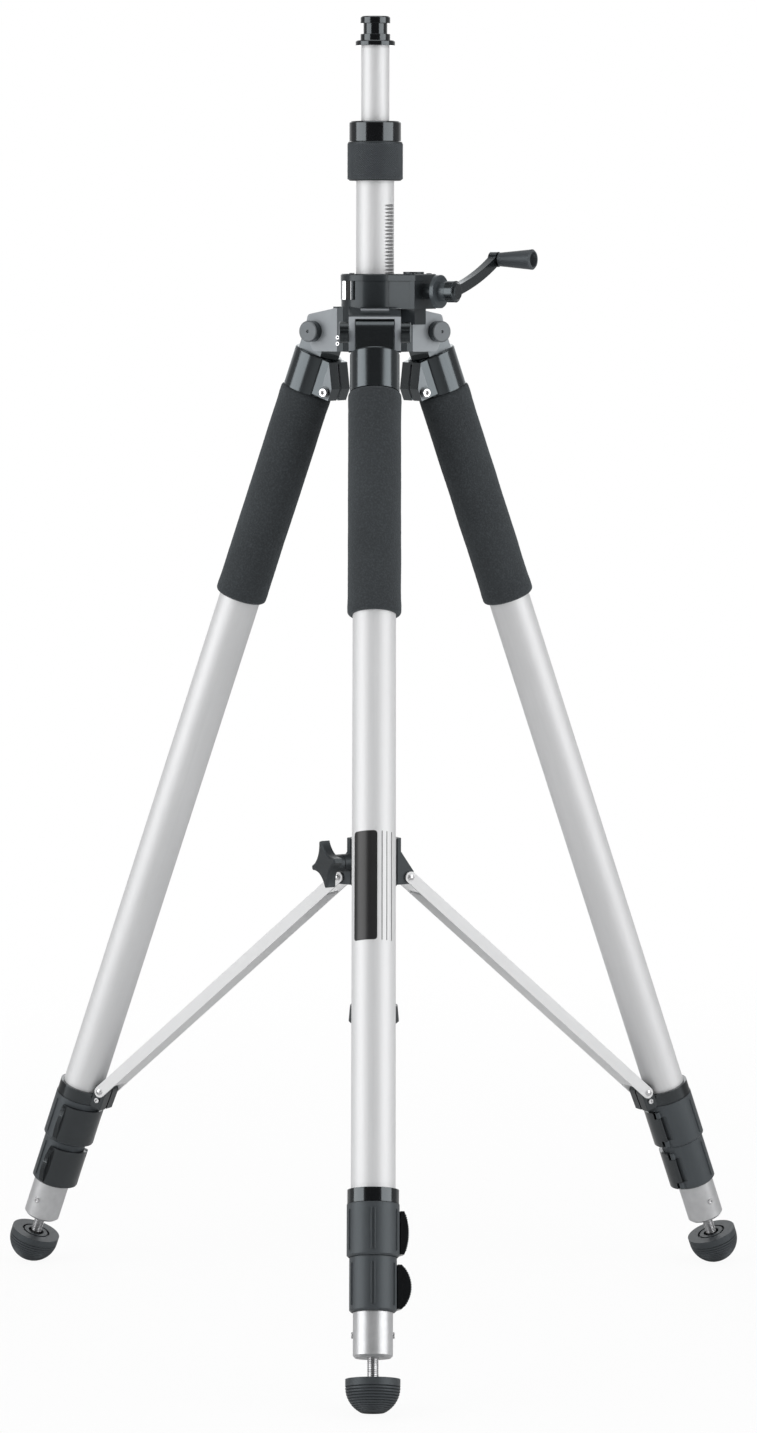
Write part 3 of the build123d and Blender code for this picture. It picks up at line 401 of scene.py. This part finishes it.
def set_at(name, pattern, places, material):
    """Copies of a pattern mesh at the given matrices, as one plain mesh."""
    seed = bpy.data.meshes.new(name + "_spots")
    seed.from_pydata([place.translation for place in places], [], [])
    turns = seed.attributes.new("turn", "FLOAT_VECTOR", "POINT")
    for spot, place in zip(turns.data, places):
        spot.vector = place.to_euler()
    sample = bpy.data.objects.new(name + "_sample", pattern)
    mesh = grown(name, set_out, {"Part": sample, "Material": material}, seed)
    bpy.data.objects.remove(sample)
    return smoothed(mesh)


def facing(spot, axis):
    """A place whose own upright direction points along the axis."""
    return Matrix.Translation(spot) @ Vector(axis).to_track_quat("Z", "X").to_matrix().to_4x4()


def both_sides(x, y, z):
    """Two places that face outwards on the left and the right of a piece."""
    return [facing((x, side * y, z), (0, side, 0)) for side in (-1, 1)]


bright_screw, wire, shader = finish("zinc_plated", Metallic=1.0)
wire.fill(shader, {
    "Base Color": grain(wire, 500.0).blend(tinted(0.70, 0.70, 0.71), tinted(0.84, 0.84, 0.85)),
    "Roughness": 0.18 + 0.16 * grain(wire, 1200.0),
})


def cap_screw(name, radius, height):
    """A round screw head with a bevelled rim and a tapered drive recess, its foot a little sunk."""
    foot, bevel, recess = -0.0005, 0.75 * height, 0.3 * height
    return turned(name, [
        (0.0, foot), (radius, foot), (radius, bevel), (0.87 * radius, height),
        (0.50 * radius, height), (0.45 * radius, recess), (0.0, recess),
    ], 24, bright_screw, closed=False)


cover_top, screw_ring = 0.0408, 0.0190
gearbox_azimuth, corner_out, corner_side = -30, 0.0375, 0.0115
cover_spots = [around(azimuth, screw_ring, 0, cover_top) for azimuth in (75, 150)]
cover_spots += [around(gearbox_azimuth, corner_out, side * corner_side, cover_top) for side in (-1, 1)]
cover_screws = set_at("cover_screws", cap_screw("cover_screw", 0.0019, 0.0005),
                      [facing(spot, upward) for spot in cover_spots], bolt_black)
piece("cover_screws", cover_screws, "hub", hub_place)

set_screw_rim, set_screw_socket, set_screw_foot, set_screw_top = 0.0014, 0.0008, -0.0003, 0.0002
set_screw = turned("set_screw", [
    (set_screw_rim, set_screw_foot), (set_screw_rim, set_screw_top),
    (set_screw_socket, set_screw_top), (set_screw_socket, set_screw_foot),
], 20, bright_screw)
set_screw_out, fork_cheek, set_screw_heights = 0.0200, 0.0183, (-0.0042, -0.0086)
set_spots = [facing(set_screw_out * out + fork_cheek * side + height * upward, side)
             for out, side in fork_sides for height in set_screw_heights]
set_screws = set_at("fork_set_screws", set_screw, set_spots, bright_screw)
piece("fork_set_screws", set_screws, "hub", hub_place)

# Bubble level: a plated brass cup pressed into the hub's side under a window in the cover, with a
# glass over a yellow-green fluid and the bubble in it.
plating, wire, shader = finish("bright_plating")
window = column_axis + around(-150, 0.0203, 0, 0)
bubble = window + Vector((0.0005, 0.0004, 0))
glass_height, glass_radius = hinge_height + 0.0353, 0.0028
bubble_radius, bubble_edge = 0.0008, 0.0003


def apart(wire, centre):
    """Distance from an upright line through the centre."""
    flat = wire.node("ShaderNodeMapping", {
        0: surface(wire), 1: (-centre.x, -centre.y, 0.0), 3: (1.0, 1.0, 0.0),
    })
    return wire.node("ShaderNodeVectorMath", {0: flat}, out="Value", operation="LENGTH")


glass = (reach(wire, surface(wire), upward) > glass_height) * (apart(wire, window) < glass_radius)
edge = apart(wire, bubble).ramp(bubble_radius, bubble_radius + bubble_edge)
fluid = edge.blend(tinted(0.70, 0.78, 0.30), tinted(0.36, 0.50, 0.03))
metal = grain(wire, 60.0).blend(tinted(0.80, 0.80, 0.81), tinted(0.90, 0.90, 0.91))
wire.fill(shader, {
    "Base Color": glass.blend(metal, fluid),
    "Metallic": 1 - glass,
    "Roughness": 0.05 + 0.08 * grain(wire, 300.0),
})
paint(["bubble_level"], plating)

# Guide tube: a black anodised tube pressed up into the hub, which the column slides in, closed at
# its lower end by a moulded ring.
gloss_black, wire, shader = finish("gloss_black", Specular_IOR_Level=1.0, Specular_Tint=cool,
                                   Coat_Weight=0.3, Coat_Roughness=0.05)
wire.fill(shader, {
    "Base Color": grain(wire, 50.0).blend(tinted(0.0028, 0.0028, 0.0032), tinted(0.0058, 0.0058, 0.0066)),
    "Roughness": 0.10 + 0.07 * grain(wire, 180.0, 3.0),
    "Normal": relief(wire, grain(wire, 700.0), 0.03, 0.0002, 0.0005),
})
paint(["guide_tube"], gloss_black)


def moulding(name, low, high):
    """Charcoal plastic with the fine grain of its mould."""
    material, wire, shader = finish(name, Specular_IOR_Level=0.55, Specular_Tint=cool)
    pitting = grain(wire, 1700.0, 3.0)
    wire.fill(shader, {
        "Base Color": grain(wire, 38.0, 4.0).blend(*shades((low, high), 0.90, 1.09)),
        "Roughness": 0.34 + 0.16 * pitting,
        "Normal": relief(wire, pitting, 0.16, 0.0002, 0.0005),
    })
    return material


moulded = moulding("moulded_plastic", 0.023, 0.032)
paint(["guide_end_ring"], moulded)

# Column: a drawn aluminium tube, satin anodised, with the rack milled into its side, and at its top
# a gloss black collet ring with a knurled clamp nut under it.
tube_tones = (tinted(0.72, 0.724, 0.732), tinted(0.80, 0.804, 0.81))
tube_rough, rack_top = 0.50, 0.01328


def satin_aluminium(name, place, tones, rough, groove=None):
    """Anodised metal with long fine drawing lines along the upright direction of its place. Metal
    inside the groove radius about the column's axis is painted darker, a painted shade in the rack's grooves."""
    line_stretch, shade_edge = 0.012, 0.0008
    material, wire, shader = finish(name, Metallic=0.5)
    upright = wire.node("ShaderNodeMapping", {0: surface(wire), 2: place.to_3x3().inverted().to_euler()})
    drawn = wire.node("ShaderNodeMapping", {0: upright, 3: (1.0, 1.0, line_stretch)})
    lines = grain(wire, 900.0, 2.0, drawn)
    cloud = grain(wire, 22.0, 3.0)
    fine = grain(wire, 2600.0, 1.0)
    colour = (0.55 * lines + 0.45 * cloud).blend(*tones)
    if groove:
        # painted shade: metal inside the rack's grooves is painted darker
        unshaded = apart(wire, column_axis).ramp(groove - shade_edge, groove)
        colour = unshaded.blend(tinted(0.36, 0.36, 0.365), colour)
    wire.fill(shader, {
        "Base Color": colour,
        "Roughness": rough + 0.10 * lines + 0.05 * cloud,
        "Normal": relief(wire, 0.6 * lines + 0.4 * fine, 0.015, 0.0001),
    })
    return material


paint(["column_tube"], satin_aluminium("anodised_column", hub_place, tube_tones, tube_rough, rack_top))
paint(["mast_clamp_ring"], gloss_black)
paint(["mast_clamp_nut"], moulded)

knurl_tree, given = new_tree("knurl", {
    "Radius": "Float", "Bottom": "Float", "Row Step": "Float", "Rows": "Int", "Around": "Int",
    "Tooth": "Float", "Height": "Float", "Material": "Material",
})
count = given["Rows"] * given["Around"]
index = count.node("GeometryNodeInputIndex")
row = count.math("FLOOR", (index + 0.5) / given["Around"])
stagger = 0.5 * count.math("MODULO", row, 2.0)
angle = (index - row * given["Around"] + stagger) / given["Around"] * (2 * pi)
spots = count.node("GeometryNodePoints", {
    "Count": count,
    "Position": count.node("ShaderNodeCombineXYZ", {
        0: given["Radius"] * count.math("COSINE", angle),
        1: given["Radius"] * count.math("SINE", angle),
        2: given["Bottom"] + row * given["Row Step"],
    }),
})
tooth = count.node("GeometryNodeMeshCone", {
    "Vertices": 4, "Radius Top": 0.0, "Radius Bottom": given["Tooth"], "Depth": given["Height"],
}, fill_type="NONE")
outward = count.node("FunctionNodeEulerToRotation", {
    0: count.node("ShaderNodeCombineXYZ", {0: 0.0, 1: pi / 2, 2: angle}),
})
close_tree(knurl_tree, spots.node("GeometryNodeInstanceOnPoints", {
    "Points": spots, "Instance": tooth, "Rotation": outward,
}), given["Material"])

knurled, wire, shader = finish("knurled_plastic", Specular_IOR_Level=0.8, Specular_Tint=cool)
wire.fill(shader, {
    "Base Color": grain(wire, 90.0).blend(tinted(0.047, 0.052, 0.057), tinted(0.070, 0.077, 0.084)),
    "Roughness": 0.26 + 0.12 * grain(wire, 800.0),
})
knurl = grown("nut_knurl", knurl_tree, {
    "Radius": 0.01920, "Bottom": 0.1079, "Row Step": 0.00080, "Rows": 31, "Around": 76,
    "Tooth": 0.00082, "Height": 0.00055, "Material": knurled,
})
piece("nut_knurl", knurl, "mast_nut", hub_place)

# Head: the slim upper mast, a drawn aluminium tube with a black plate fixed on its top, and a turned
# cap that screws over the stud on the plate.
paint(["mast_tube"], satin_aluminium("anodised_mast", hub_place, tube_tones, tube_rough))
paint(["head_plate", "thread_cap"], gloss_black)

# Crank: a blackened steel shaft with a brake disc and barrel, the S-shaped cast arm on it and a
# plastic grip that spins. The steel pinion inside the gearbox lifts the column by its rack.
steel, wire, shader = finish("turned_steel", Metallic=1.0)
wire.fill(shader, {
    "Base Color": grain(wire, 240.0).blend(tinted(0.52, 0.52, 0.53), tinted(0.68, 0.68, 0.69)),
    "Roughness": 0.24 + 0.14 * grain(wire, 900.0),
})
enamel_tones = (0.003, 0.007)
paint(["pinion_shaft"], steel)
paint(["crank_shaft"], casting("crank_black", (0.044, 0.062), (), 0.34, 1.7))
paint(["crank_arm"], casting("black_enamel", enamel_tones, (), 0.18, 1.8))
paint(["crank_grip"], moulding("grip_plastic", 0.060, 0.078))

# Leg heads: gloss black castings that hinge in the forks and grip the upper leg tubes, with ground
# flats at the neck and ears, each pinched by a bright screw through its two ears.
leg_tilt = radians(20.5)


def leaning(leg, joint, lean):
    """The place of a joint on that leg, its own upright direction leaning in to the column."""
    turn = Matrix.Rotation(radians(leg_azimuths[leg]), 4, "Z") @ Matrix.Rotation(-lean, 4, "Y")
    return Matrix.Translation(joint_at[f"{leg}_{joint}"]) @ turn


leg_place = {leg: leaning(leg, "fold", leg_tilt) for leg in legs}


def head_flats(leg):
    """The sides of that leg's neck and ears."""
    neck_end, ear_start, slope = -0.0160, -0.0177, 0.9
    out, side, up, hinge = [leg_place[leg].col[i].to_3d() for i in range(4)]

    def found(wire, spot, normal):
        neck = reach(wire, spot, up, hinge) > neck_end
        ear = reach(wire, spot, out, hinge) < ear_start
        square = abs(reach(wire, normal, side)) > slope
        return wire.math("MAXIMUM", neck, ear) * square

    return found


# Painted shade: a thin gloss black disc under each ear screw stands in for the shaded recess ring round the
# screw.
shade_ring_radius, shade_ring_foot, shade_ring_top = 0.0043, -0.0002, 0.0003
ear_shade_ring = turned("ear_shade_ring", [
    (0.0, shade_ring_foot), (shade_ring_radius, shade_ring_foot), (shade_ring_radius, shade_ring_top), (0.0, shade_ring_top),
], 28, gloss_black, closed=False)
ear_screw = cap_screw("ear_screw", 0.0033, 0.0030)
ear_out, ear_face, ear_height = -0.0215, 0.0128, -0.0385
ear_spots = both_sides(ear_out, ear_face, ear_height)
for leg in legs:
    head_black = casting("enamel_" + leg, enamel_tones, (0.185, 0.225), 0.16, 1.9, head_flats(leg))
    paint([leg + "_leg_head"], head_black)
    screws = set_at(leg + "_ear_screws", ear_screw, ear_spots, bright_screw)
    piece(leg + "_ear_screws", screws, leg + "_leg", leg_place[leg])
    shade_rings = set_at(leg + "_ear_washers", ear_shade_ring, ear_spots, gloss_black)
    piece(leg + "_ear_washers", shade_rings, leg + "_leg", leg_place[leg])

# Leg tubes: three anodised aluminium tubes that slide in each other. The front leg's upper tube
# carries a plain black panel with three pinstripes, printed on film.
for leg in legs:
    drawn_tube = satin_aluminium("anodised_" + leg, leg_place[leg], tube_tones, tube_rough)
    paint([f"{leg}_{tube}_tube" for tube in ("upper", "middle", "lower")], drawn_tube)

film_radius, film_low, film_high = 0.01501, -0.4370, -0.3616


def film(name, left, right, corner, material):
    """A thin printed film on the tube, between two angles in degrees, with rounded corners."""
    rows, columns, lift = 48, 16, 0.00012
    points, faces = [], []
    middle, half = radians(left + right) / 2, film_radius * radians(right - left) / 2
    for skin in (film_radius + lift, film_radius):
        for i in range(rows + 1):
            share = 0.5 - 0.5 * cos(pi * i / rows)
            height = film_low + share * (film_high - film_low)
            edge = min(height - film_low, film_high - height)
            cut = corner - (corner ** 2 - max(corner - edge, 0) ** 2) ** 0.5
            for j in range(columns + 1):
                angle = middle + (half - cut) / film_radius * (2 * j / columns - 1)
                points.append((skin * cos(angle), skin * sin(angle), height))
    width = columns + 1
    back = (rows + 1) * width
    for i in range(rows):
        for j in range(columns):
            a = i * width + j
            faces += [(a, a + 1, a + width + 1, a + width),
                      (back + a + width, back + a + width + 1, back + a + 1, back + a)]
    rim = list(range(width))
    rim += [i * width + columns for i in range(1, rows + 1)]
    rim += [rows * width + j for j in range(columns - 1, -1, -1)]
    rim += [i * width for i in range(rows - 1, 0, -1)]
    for a, b in zip(rim, rim[1:] + rim[:1]):
        faces.append((a, back + a, back + b, b))
    mesh = bpy.data.meshes.new(name)
    mesh.from_pydata(points, [], faces)
    mesh.materials.append(material)
    return smoothed(mesh)


printed, wire, shader = finish("printed_film", Specular_IOR_Level=0.5, Coat_Weight=0.25, Coat_Roughness=0.2)
wire.fill(shader, {
    "Base Color": grain(wire, 120.0).blend(tinted(0.006, 0.006, 0.006), tinted(0.011, 0.011, 0.012)),
    "Roughness": 0.3 + 0.12 * grain(wire, 500.0),
})
panel = film("front_panel", -60, 9, 0.0022, printed)
piece("front_panel", panel, "front_leg", leg_place["front"])
stripe_half, stripe_corner = 0.9, 0.0002
for number, middle in enumerate((22.0, 36.0, 53.0), 1):
    name = f"front_pinstripe_{number}"
    stripe = film(name, middle - stripe_half, middle + stripe_half, stripe_corner, printed)
    piece(name, stripe, "front_leg", leg_place["front"])

# Foam grips: closed-cell foam sleeves pushed over the upper tubes, matte and slightly uneven, with
# ends rounded by the knife and a faint swell just inside them.
foam, wire, shader = finish("closed_cell_foam", Specular_IOR_Level=0.25, Sheen_Weight=0.12,
                            Sheen_Roughness=0.6, Sheen_Tint=cool)
cells = wire.node("ShaderNodeTexVoronoi", {"Vector": surface(wire), "Scale": 1500.0}, out="Distance")
speck = grain(wire, 820.0, 3.0).ramp(0.44, 0.70)
blotch = grain(wire, 26.0, 4.0)
foam_low, foam_high = tinted(0.0215, 0.0245, 0.0268), tinted(0.056, 0.0635, 0.0695)
wire.fill(shader, {
    "Base Color": (0.55 * speck + 0.45 * blotch).blend(foam_low, foam_high),
    "Roughness": 0.86 + 0.1 * speck,
    "Normal": relief(wire, cells + 0.7 * speck, 0.4, 0.0003),
})
grip_top, grip_bottom, grip_radius, grip_bore = -0.045, -0.206, 0.0185, 0.01505
lip = 0.0024
swell_height, swell_middle = 0.00022, 0.006
wave_height, wave_scale = 0.00022, 45
dent_height, dent_scale = 0.00008, 420


def foam_sleeve(name, seed):
    """A sleeve with rounded ends whose skin wanders a little from the true cylinder."""
    around_steps, length_steps, bend_steps = 112, 150, 6
    bend = [pi / 2 * i / bend_steps for i in range(bend_steps + 1)]
    span = grip_top - grip_bottom - 2 * lip
    outline = [(grip_bore, grip_bottom)]
    outline += [(grip_radius - lip + lip * sin(a), grip_bottom + lip - lip * cos(a)) for a in bend]
    outline += [(grip_radius, grip_bottom + lip + span * i / length_steps) for i in range(1, length_steps)]
    outline += [(grip_radius - lip + lip * cos(a), grip_top - lip + lip * sin(a)) for a in bend]
    outline += [(grip_bore, grip_top)]
    mesh = turned(name, outline, around_steps, foam)
    skin_start = grip_bore + 0.0005
    for vertex in mesh.vertices:
        radius = Vector(vertex.co[:2]).length
        if radius > skin_start:
            end = min(vertex.co.z - grip_bottom, grip_top - vertex.co.z)
            swell = swell_height * max(0.0, 1 - abs(end - swell_middle) / swell_middle)
            spot = vertex.co + Vector((0, 0, seed))
            wander = wave_height * noise.noise(spot * wave_scale)
            wander += dent_height * noise.noise(spot * dent_scale)
            scale = 1 + (wander + swell) / radius
            vertex.co.x *= scale
            vertex.co.y *= scale
    return mesh


for number, leg in enumerate(legs):
    sleeve_mesh = foam_sleeve(leg + "_grip", 3.0 * number)
    sleeve = piece(leg + "_grip", sleeve_mesh, leg + "_leg", leg_place[leg])
    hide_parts(leg + "_foam_grip")

# Braces: bent aluminium channels that hold the legs at their spread, riveted to a moulded split
# collar on each leg and pinned to the slider on the guide tube.
brace_lean = radians(49.3589)
brace_place = {leg: leaning(leg, "stay_swing", brace_lean) for leg in legs}
brace_length, brace_face, brace_rough = 0.2720367, 0.0108, 0.52
brace_tones = (tinted(0.72, 0.724, 0.73), tinted(0.80, 0.803, 0.808))
rivet = turned("rivet", [
    (0.0, -0.0003), (0.00225, -0.0003), (0.0021, 0.0002), (0.0014, 0.0006), (0.0, 0.0008),
], 20, bright_screw, closed=False)
rivet_spots = both_sides(0, brace_face, 0.0) + both_sides(0, brace_face, brace_length)
pinch_screw = cap_screw("pinch_screw", 0.0020, 0.0013)
pinch_out, pinch_face, pinch_height = -0.0200, 0.0082, -0.6076
pinch_spots = both_sides(pinch_out, pinch_face, pinch_height)
for leg in legs:
    drawn_brace = satin_aluminium("anodised_brace_" + leg, brace_place[leg], brace_tones, brace_rough)
    paint([leg + "_brace_collar"], gloss_black)
    paint([leg + "_brace"], drawn_brace)
    rivets = set_at(leg + "_brace_rivets", rivet, rivet_spots, bright_screw)
    piece(leg + "_brace_rivets", rivets, leg + "_stay", brace_place[leg])
    screws = set_at(leg + "_pinch_screws", pinch_screw, pinch_spots, bright_screw)
    piece(leg + "_pinch_screws", screws, leg + "_leg", leg_place[leg])

# Slider: a moulded sleeve on the guide tube with three forked lugs for the braces, clamped by a
# four-lobed star knob.
paint(["brace_slider", "slider_knob"], moulded)

# Leg clamps: moulded collars at the ends of the upper and middle tubes, each closed by a flip lever
# with a serrated finger edge.
clamp_plastic = moulding("clamp_plastic", 0.050, 0.066)
for leg in legs:
    paint([f"{leg}_{level}_clamp" for level in ("upper", "lower")], clamp_plastic)
    paint([f"{leg}_{level}_lever" for level in ("upper", "lower")], gloss_black)

rib_radius, rib_half, rib_middle = 0.00045, 0.0016, 0.0017
finger_rib = turned("finger_rib", [
    (0.0, -rib_half), (rib_radius, -rib_half), (rib_radius, rib_half), (0.0, rib_half),
], 10, gloss_black, closed=False)
ribs_each_way, rib_step = 8, 0.1
tab_azimuth = 100
tab_out, tab_across = around(tab_azimuth, 1, 0, 0), around(tab_azimuth, 0, -1, 0)
finger_edges = {"upper": (0.02055, 0.0234, -0.63305, 0.01445), "lower": (0.01875, 0.0252, -0.6690, 0.0148)}
for level, (root, tip, middle, half) in finger_edges.items():
    bow = (half ** 2 + (tip - root) ** 2) / (2 * (tip - root))
    rib_spots = []
    for step in range(-ribs_each_way, ribs_each_way + 1):
        swing = rib_step * step * asin(half / bow)
        out, height = tip - bow + bow * cos(swing), middle + bow * sin(swing)
        rib_spots.append(facing(out * tab_out + rib_middle * tab_across + height * upward, tab_across))
    for leg in legs:
        name = f"{leg}_{level}_finger_ribs"
        ribs = set_at(name, finger_rib, rib_spots, gloss_black)
        piece(name, ribs, f"{leg}_{level}_flip", leg_place[leg])

# Feet: a bright turned ferrule on each lowest tube held by two small screws, a threaded steel
# spindle and a ribbed rubber ball foot on it.
turned_aluminium, wire, shader = finish("turned_aluminium", Metallic=0.65)
wire.fill(shader, {
    "Base Color": grain(wire, 160.0, 3.0).blend(tinted(0.52, 0.525, 0.535), tinted(0.70, 0.705, 0.715)),
    "Roughness": 0.30 + 0.14 * grain(wire, 700.0, 3.0),
    "Normal": relief(wire, grain(wire, 1500.0), 0.04, 0.0001, 0.0004),
})
rubber, wire, shader = finish("foot_rubber", Specular_IOR_Level=0.6, Specular_Tint=cool)
dust = grain(wire, 60.0, 4.0)
wire.fill(shader, {
    "Base Color": dust.blend(tinted(0.028, 0.031, 0.034), tinted(0.050, 0.055, 0.060)),
    "Roughness": 0.38 + 0.16 * grain(wire, 500.0),
    "Normal": relief(wire, grain(wire, 1400.0), 0.12, 0.0003),
})
thread_tree, given = new_tree("thread", {
    "Radius": "Float", "Turns": "Float", "Length": "Float", "Depth": "Float", "Material": "Material",
})
helix = given["Radius"].node("GeometryNodeCurveSpiral", {
    "Resolution": 24, "Rotations": given["Turns"], "Start Radius": given["Radius"],
    "End Radius": given["Radius"], "Height": given["Length"],
})
flank = helix.node("GeometryNodeCurvePrimitiveCircle", {"Resolution": 4, "Radius": given["Depth"]},
                   mode="RADIUS")
close_tree(thread_tree, helix.node("GeometryNodeCurveToMesh", {
    "Curve": helix, "Profile Curve": flank, "Fill Caps": True,
}), given["Material"])
ferrule_screw = cap_screw("ferrule_screw", 0.0022, 0.0011)
ferrule_radius, ferrule_middle = 0.0133, -0.7012
ferrule_spots = both_sides(0, ferrule_radius, ferrule_middle)
thread_bottom, thread_length = -0.7300, 0.0135
for leg in legs:
    paint([leg + "_foot_ferrule"], turned_aluminium)
    paint([leg + "_foot_spindle"], steel)
    paint([leg + "_rubber_foot"], rubber)
    screws = set_at(leg + "_ferrule_screws", ferrule_screw, ferrule_spots, bright_screw)
    piece(leg + "_ferrule_screws", screws, leg + "_lower", leg_place[leg])
    thread = grown(leg + "_foot_thread", thread_tree, {
        "Radius": 0.0035, "Turns": 11.0, "Length": thread_length, "Depth": 0.00042, "Material": steel,
    })
    piece(leg + "_foot_thread", thread, leg + "_lower",
          leg_place[leg] @ Matrix.Translation((0, 0, thread_bottom)))
